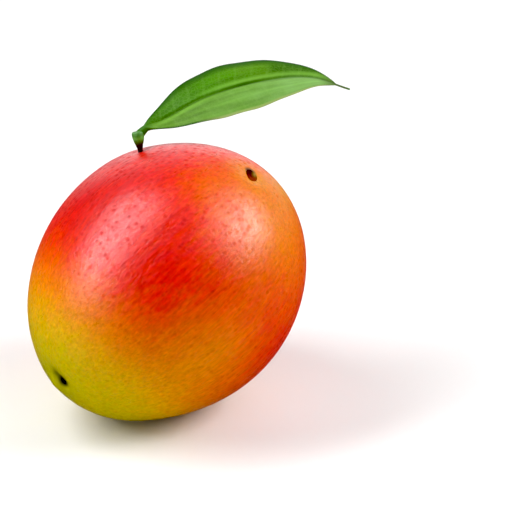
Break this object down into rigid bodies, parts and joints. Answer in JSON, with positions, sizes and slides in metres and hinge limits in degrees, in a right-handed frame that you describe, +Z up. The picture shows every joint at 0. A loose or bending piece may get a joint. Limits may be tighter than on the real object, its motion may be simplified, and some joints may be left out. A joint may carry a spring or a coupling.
{
  "type": "mango",
  "caption": "Whole ripe mango, red to yellow-green, leaning on a small flat spot, with a woody stem scar and a leaf on a short stalk.",
  "frame": {"origin": "middle of the small flat spot that the fruit rests on", "axes": "+Z up, +X to the side that the stem end and the leaf's tip point to, -Y to the front, where the nose turns"},
  "size_m": [0.12, 0.101, 0.1207],
  "materials": {
    "skin": "satin",
    "dry_wood": "matte",
    "green_twig": "satin",
    "leaf_green": "satin"
  },
  "bodies": {
    "root": {"fruit": "skin", "stem_scar": "dry_wood", "leaf_stalk": "green_twig", "leaf": "leaf_green"}
  },
  "joints": []
}
